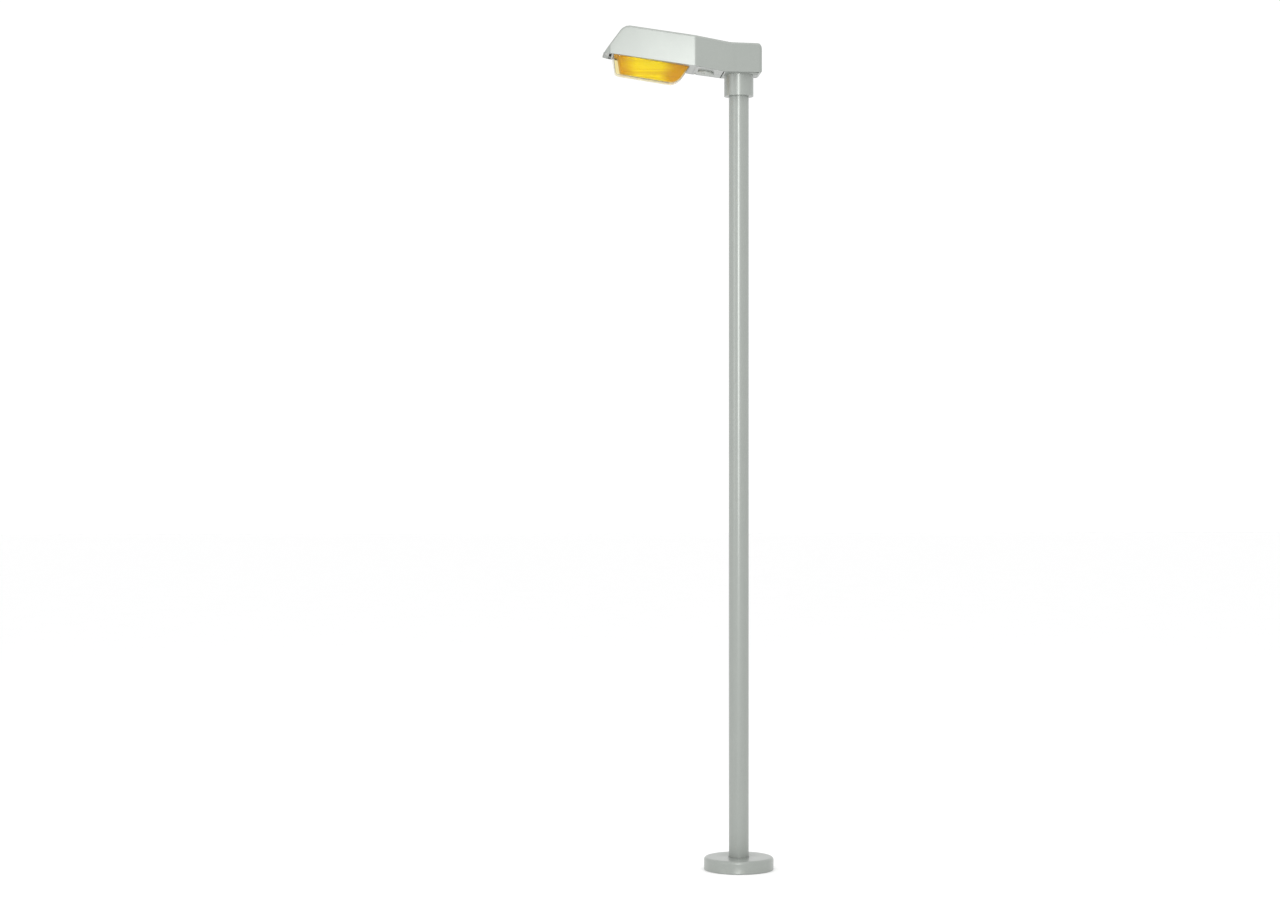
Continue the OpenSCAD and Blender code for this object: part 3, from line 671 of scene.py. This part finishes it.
def bowlSkin(bm, inset, ripple, rise, front):
    rings = [[bm.verts.new((x, y, rise)) for x, y in bowlRing(0, inset, 0.0, front)]]
    for k, depth in enumerate(bowlDepths(inset)):
        wave = ripple * math.sin(k * 2.1)
        rings.append([bm.verts.new((x, y, -depth)) for x, y in bowlRing(depth, inset, wave, front)])
    for upper, lower in zip(rings, rings[1:]):
        for i in range(len(upper)):
            k = (i + 1) % len(upper)
            bm.faces.new((upper[i], upper[k], lower[k], lower[i]))
    floor = bm.faces.new(rings[-1])
    bmesh.ops.inset_region(bm, faces=[floor], thickness=0.012, depth=-0.0004)
    return rings[0]


def flangeLip(bm, edge, grow, z):
    # a flat collar round the skin's top edge
    b = bowlForm
    x0 = b["x1"] - b["length"] - grow
    x1 = b["x1"] + grow
    outer = [bm.verts.new((x, y, z)) for x, y in roundedRect(x0, x1, b["halfWidth"] + grow, b["corner"])]
    for i in range(len(edge)):
        k = (i + 1) % len(edge)
        bm.faces.new((edge[i], edge[k], outer[k], outer[i]))


def makeBowl():
    b = bowlForm
    for name, inset, ripple, rise, grow, wall, material, node, front in (
            ("bowlWall", 0.0, 0.0, b["wallRise"], b["flange"], b["wall"], "clear_bowl", "bowl", 0.0),
            ("amberRefractor", b["linerGap"], b["ripple"], b["linerRise"], b["linerFlange"], b["linerWall"],
             "amber", "refractor", b["linerFront"])):
        bm = bmesh.new()
        edge = bowlSkin(bm, inset, ripple, rise, front)
        flangeLip(bm, edge, grow, rise)
        obj = makePiece(name, bm, material, "bowl", (node,), 40, place=onRim)
        wallPart = obj.modifiers.new("wall", "SOLIDIFY")
        wallPart.thickness = wall
        wallPart.offset = -1


def makeSeal():
    # a soft bead with a bulge inside and out, laid round the bowl's flange
    b = bowlForm
    bm = bmesh.new()
    loops = []
    section = ((0.005, 0.0092), (0.0055, 0.0105), (0.004, 0.0118), (-0.001, 0.0118), (-0.002, 0.0105),
               (-0.001, 0.0092))
    for grow, z in section:
        ring = roundedRect(b["x1"] - b["length"] - grow, b["x1"] + grow, b["halfWidth"] + grow, b["corner"])
        loops.append([bm.verts.new((x, y, z)) for x, y in ring])
    joinRings(bm, loops)
    makePiece("bowlSeal", bm, "rubber", "bowl", ("bowl_gasket",), 60, place=onRim)


def makeCover():
    # base cover: a turned skirt with a rounded shoulder, a drip bead at its foot and four lugs on the flange
    c = {"radius": 0.200, "height": 0.072, "round": 0.017, "wall": 0.004, "hole": 0.05965, "foot": 0.0005,
         "lugFrom": 0.162, "lugTo": 0.197, "lugHalf": 0.012, "lugLow": 0.0203, "lugHigh": 0.026}
    shoulder = arc((c["radius"] - c["round"], c["height"] - c["round"]), c["round"], 0, 90, 10)
    inside = arc((c["radius"] - c["round"], c["height"] - c["round"]), c["round"] - c["wall"], 90, 0, 8)
    profile = [(c["radius"] - 0.001, c["foot"]), (c["radius"], c["foot"] + 0.0012), (c["radius"], 0.006),
               (c["radius"] - 0.0008, 0.0075)]
    profile += shoulder
    profile += [(c["hole"] + 0.003, c["height"]), (c["hole"], c["height"] - 0.001),
                (c["hole"], c["height"] - c["wall"])]
    profile += inside
    profile += [(c["radius"] - c["wall"], c["foot"])]
    bm = bmesh.new()
    addLathe(bm, profile, 160)
    for i in range(4):
        turn = Matrix.Rotation(math.radians(90 * i), 4, "Z")
        addBox(bm, (c["lugFrom"], -c["lugHalf"], c["lugLow"]), (c["lugTo"], c["lugHalf"], c["lugHigh"]),
               0.001, 2, turn)
    makePiece("baseCoverShell", bm, "paint", "base_cover", ("base_cover",), 30)


def makeKnob():
    # round turn knob: scalloped rim, dished face and a raised finger bar
    k = {"x": 0.106, "radius": 0.0455, "low": -0.011, "high": -0.0004, "scallops": 20}
    bm = bmesh.new()
    rimArc = arc((k["radius"] - 0.003, k["low"] + 0.003), 0.003, 180 + 90, 360, 5)
    profile = [(0.0001, k["low"] + 0.0035), (0.030, k["low"] + 0.0035), (0.034, k["low"] + 0.0005)] + rimArc
    profile += [(k["radius"], k["high"] - 0.001), (k["radius"] - 0.001, k["high"]), (0.0001, k["high"])]
    place = onRim @ Matrix.Translation((k["x"], 0, 0))
    addLathe(bm, profile, 160, place, lambda a: 1 + 0.006 * math.cos(k["scallops"] * a))
    addBox(bm, (-0.005, -0.031, k["low"] + 0.0002), (0.005, 0.031, k["low"] + 0.005), 0.0018, 3, place)
    boss = [(0.0001, -0.001), (0.008, -0.001), (0.008, 0.0090), (0.0074, 0.0096), (0.0001, 0.0096)]
    addLathe(bm, boss, 40, place)
    makePiece("turnKnob", bm, "knob_plastic", "latch", ("latch_knob",), 34)


def makeBallast():
    # a stack of thin plates with a layered winding standing out at both ends
    b = {"x0": 0.044, "x1": 0.126, "y0": -0.100, "y1": -0.034, "z0": 0.066, "z1": 0.118, "plates": 26,
         "coilRear": 0.0305, "coilFront": 0.1395, "coilY": (-0.087, -0.047), "coilLow": 0.077,
         "layers": 9, "layer": 0.0038, "strip": 0.0036}
    core = bmesh.new()
    pitch = (b["x1"] - b["x0"]) / b["plates"]
    for i in range(b["plates"]):
        x = b["x0"] + i * pitch
        grow = 0.0004 if i % 2 else 0.0
        low = (x + 0.0002, b["y0"] + grow, b["z0"] + grow)
        addBox(core, low, (x + pitch, b["y1"] - grow, b["z1"]), 0.0, 1, onRim)
    makePiece("ballastCore", core, "core", "head", ("ballast",), 30)
    coil = bmesh.new()
    for rear, front in ((b["coilRear"], b["x0"]), (b["x1"], b["coilFront"])):
        for j in range(b["layers"]):
            z = b["coilLow"] + j * b["layer"]
            addBox(coil, (rear, b["coilY"][0], z), (front, b["coilY"][1], z + b["strip"]), 0.0016, 3, onRim)
    makePiece("ballastWinding", coil, "copper", "head", (), 50)


def makeCapacitor():
    # a drawn can with a rolled seam and two tabs
    bm = bmesh.new()
    place = alongHead(0.030, 0.076, 0.0998)
    profile = [(0.0001, 0), (0.0150, 0), (0.0176, 0.0012), (0.0180, 0.003), (0.0180, 0.073), (0.0172, 0.0745),
               (0.0172, 0.0760), (0.0180, 0.0775), (0.0176, 0.0795), (0.0155, 0.0795), (0.0150, 0.0785),
               (0.0001, 0.0785)]
    addLathe(bm, profile, 64, place)
    for y in (-0.006, 0.006):
        addBox(bm, (-0.0004, y - 0.003, 0.0780), (0.0004, y + 0.003, 0.0838), 0.0002, 1, place)
    makePiece("capacitorCan", bm, "sheet", "head", ("capacitor",), 30)


def makeIgnitor():
    # a moulded case with upright ribs on both sides
    c = {"low": (0.040, 0.012, 0.088), "high": (0.122, 0.046, 0.1179), "ribs": 5, "firstRib": 0.052,
         "ribPitch": 0.014, "ribWide": 0.004, "proud": 0.0005}
    bm = bmesh.new()
    addBox(bm, c["low"], c["high"], 0.0035, 3, onRim)
    for i in range(c["ribs"]):
        x = c["firstRib"] + i * c["ribPitch"]
        low = (x, c["low"][1] - c["proud"], c["low"][2] + 0.006)
        high = (x + c["ribWide"], c["high"][1] + c["proud"], c["high"][2] - 0.0059)
        addBox(bm, low, high, 0.0008, 2, onRim)
    makePiece("ignitorCase", bm, "grey_plastic", "head", ("ignitor",), 30)


lampLine = {"holderX": 0.183, "lampX": 0.1994, "height": 0.038}


def makeLampholder():
    # glazed body with three grooves round its rear half
    bm = bmesh.new()
    place = alongHead(lampLine["holderX"], 0, lampLine["height"])
    profile = [(0.0001, 0.0), (0.0225, 0.0), (0.0245, 0.0025)]
    for k in range(3):
        z = 0.010 + k * 0.009
        profile += [(0.0248, z), (0.0232, z + 0.002), (0.0232, z + 0.004), (0.0248, z + 0.006)]
    profile += [(0.0250, 0.040), (0.0250, 0.060), (0.0238, 0.062), (0.0206, 0.062), (0.0197, 0.060),
                (0.0197, 0.016), (0.0001, 0.016)]
    addLathe(bm, profile, 80, place)
    makePiece("lampholderBody", bm, "ceramic", "head", ("lampholder",), 34)


def makeLampParts():
    # screw cap with its thread drawn as rings, and the arc tube inside the glass
    t = {"radius": 0.0186, "depth": 0.0007, "points": 24, "spacing": 0.0011, "pointsPerTurn": 5.8}
    place = alongHead(lampLine["lampX"], 0, lampLine["height"])
    cap = bmesh.new()
    thread = [(0.0001, 0.0), (0.0062, 0.0), (0.0066, 0.002), (0.0150, 0.0045)]
    for k in range(t["points"]):
        z = 0.0075 + k * t["spacing"]
        thread.append((t["radius"] + t["depth"] * math.sin(k * 2 * math.pi / t["pointsPerTurn"]), z))
    thread += [(0.0184, 0.0350), (0.0192, 0.0385), (0.0194, 0.0452), (0.0001, 0.0452)]
    addLathe(cap, thread, 64, place)
    makePiece("lampCap", cap, "brass", "head", ("lamp_cap",), 40)
    tube = bmesh.new()
    shape = [(0.0001, 0.088), (0.0022, 0.088), (0.0024, 0.0935), (0.0046, 0.0965), (0.0049, 0.100),
             (0.0049, 0.162), (0.0046, 0.1655), (0.0024, 0.1685), (0.0022, 0.1736), (0.0001, 0.1736)]
    addLathe(tube, shape, 40, place)
    makePiece("arcTube", tube, "ceramic", "head", ("arc_tube",), 40)


def makeCutout():
    # fused cut-out: a moulded base with a well, and the carrier that pulls out of it by a ribbed grip
    base = bmesh.new()
    z0, z1 = 0.590, 0.740
    addBox(base, (-0.028, 0.0045, z0), (0.028, 0.020, z1), 0.0015, 2)
    for low, high in ((z0, 0.6346), (0.6954, z1)):
        addBox(base, (-0.028, -0.012, low), (0.028, 0.0050, high), 0.0025, 3)
    for side in (-1, 1):
        x = sorted((side * 0.0184, side * 0.028))
        addBox(base, (x[0], -0.012, z0 + 0.040), (x[1], 0.0050, z1 - 0.040), 0.0018, 2)
    for k in range(5):
        addBox(base, (-0.022, -0.0126, 0.703 + k * 0.006), (0.022, -0.0115, 0.706 + k * 0.006), 0.0003, 1)
    makePiece("cutoutBase", base, "grey_plastic", "post", ("cutout_base",), 30)
    carrier = bmesh.new()
    addBox(carrier, (-0.018, -0.018, 0.635), (0.018, -0.0125, 0.695), 0.0016, 3)
    for side in (-1, 1):
        x = sorted((side * 0.0080, side * 0.0175))
        addBox(carrier, (x[0], -0.0125, 0.6355), (x[1], 0.0035, 0.6945), 0.0008, 2)
    for low, high in ((0.6355, 0.6445), (0.6915, 0.6945)):
        addBox(carrier, (-0.0085, -0.0125, low), (0.0085, 0.0035, high), 0.0006, 1)
    addBox(carrier, (-0.005, -0.024, 0.643), (0.005, -0.0175, 0.687), 0.0018, 3)
    for k in range(8):
        z = 0.647 + k * 0.0048
        addBox(carrier, (-0.0057, -0.0232, z), (0.0057, -0.0184, z + 0.0018), 0.0004, 1)
    makePiece("fuseCarrier", carrier, "grey_plastic", "fuse_carrier", ("fuse_carrier",), 30)


def makePoleWeld():
    # fillet weld round the tube where it meets the flange, laid in overlapping runs
    w = {"steps": 150, "swell": 0.0008, "beadStep": 1.9, "tube": 0.0572, "low": 0.0205, "high": 0.0280}
    bm = bmesh.new()
    rings = []
    for i in range(w["steps"]):
        a = 2 * math.pi * i / w["steps"]
        swell = w["swell"] * math.cos(i * w["beadStep"])
        ring = [(w["tube"], w["low"]), (0.0640 + swell, w["low"]), (0.0622 + swell, 0.0232),
                (0.0600 + swell, 0.0258), (w["tube"], w["high"])]
        rings.append([bm.verts.new((r * math.cos(a), r * math.sin(a), z)) for r, z in ring])
    joinRings(bm, rings)
    makePiece("poleWeld", bm, "galvanised", "post", (), 60)


print("pieces")
canopyShell()
canopyLip()
canopyFrame()
makeBowl()
makeSeal()
makeCover()
makeKnob()
makeBallast()
makeCapacitor()
makeIgnitor()
makeLampholder()
makeLampParts()
makeCutout()
makePoleWeld()


# camera, lights and floor

view = {"azimuth": 176.5, "distance": 14.47, "side": 0.567, "height": 2.393, "lens": 70.9}
light = {"world": 1.05, "key": 250, "side": 50, "top": 90}


def placeCamera():
    turn = math.radians(view["azimuth"])
    ahead = Vector((-math.sin(turn), math.cos(turn), 0))
    right = ahead.cross(Vector((0, 0, 1)))
    data = bpy.data.cameras.new("camera")
    data.lens = view["lens"]
    data.sensor_width = 36
    data.clip_end = 200
    camera = bpy.data.objects.new("camera", data)
    camera.location = -ahead * view["distance"] - right * view["side"] + Vector((0, 0, view["height"]))
    camera.rotation_euler = (math.radians(90), 0, turn)
    bpy.context.scene.collection.objects.link(camera)
    bpy.context.scene.camera = camera
    return ahead, right


def areaLight(name, at, target, size, power):
    data = bpy.data.lights.new(name, "AREA")
    data.shape = "RECTANGLE"
    data.size, data.size_y = size
    data.energy = power
    panel = bpy.data.objects.new(name, data)
    panel.location = at
    panel.rotation_euler = (Vector(target) - Vector(at)).to_track_quat("-Z", "Y").to_euler()
    bpy.context.scene.collection.objects.link(panel)


def studio():
    ahead, right = placeCamera()
    bpy.context.scene.view_settings.view_transform = "Standard"
    world = bpy.data.worlds.new("studio")
    world.use_nodes = True
    world.node_tree.nodes["Background"].inputs[0].default_value = (1.0, 1.0, 1.0, 1)
    world.node_tree.nodes["Background"].inputs[1].default_value = light["world"]
    bpy.context.scene.world = world
    front = -ahead
    keyAt = front * 9 + right * -0.6 + Vector((0, 0, 4.2))
    sideAt = front * 5 + right * -7 + Vector((0, 0, 4.0))
    topAt = Vector((0, 0, 9.0)) + front * 3
    areaLight("keyPanel", keyAt, (0, 0, 3.0), (0.7, 4.5), light["key"])
    areaLight("sidePanel", sideAt, (0, 0, 3.0), (3.0, 4.0), light["side"])
    areaLight("topPanel", topAt, (0, 0, 2.5), (5.0, 5.0), light["top"])
    bm = bmesh.new()
    bmesh.ops.create_grid(bm, x_segments=8, y_segments=8, size=60)
    mesh = bpy.data.meshes.new("floor")
    bm.to_mesh(mesh)
    bm.free()
    floor = bpy.data.objects.new("floor", mesh)
    floor.location.z = -0.001
    bpy.context.scene.collection.objects.link(floor)
    g = Graph("paleFloor")
    g.set(Base_Color=g.mix(g.noise(2.0), (0.93, 0.93, 0.93, 1), (0.96, 0.96, 0.96, 1)), Roughness=0.8)
    mesh.materials.append(g.material)


print("camera and lights")
studio()
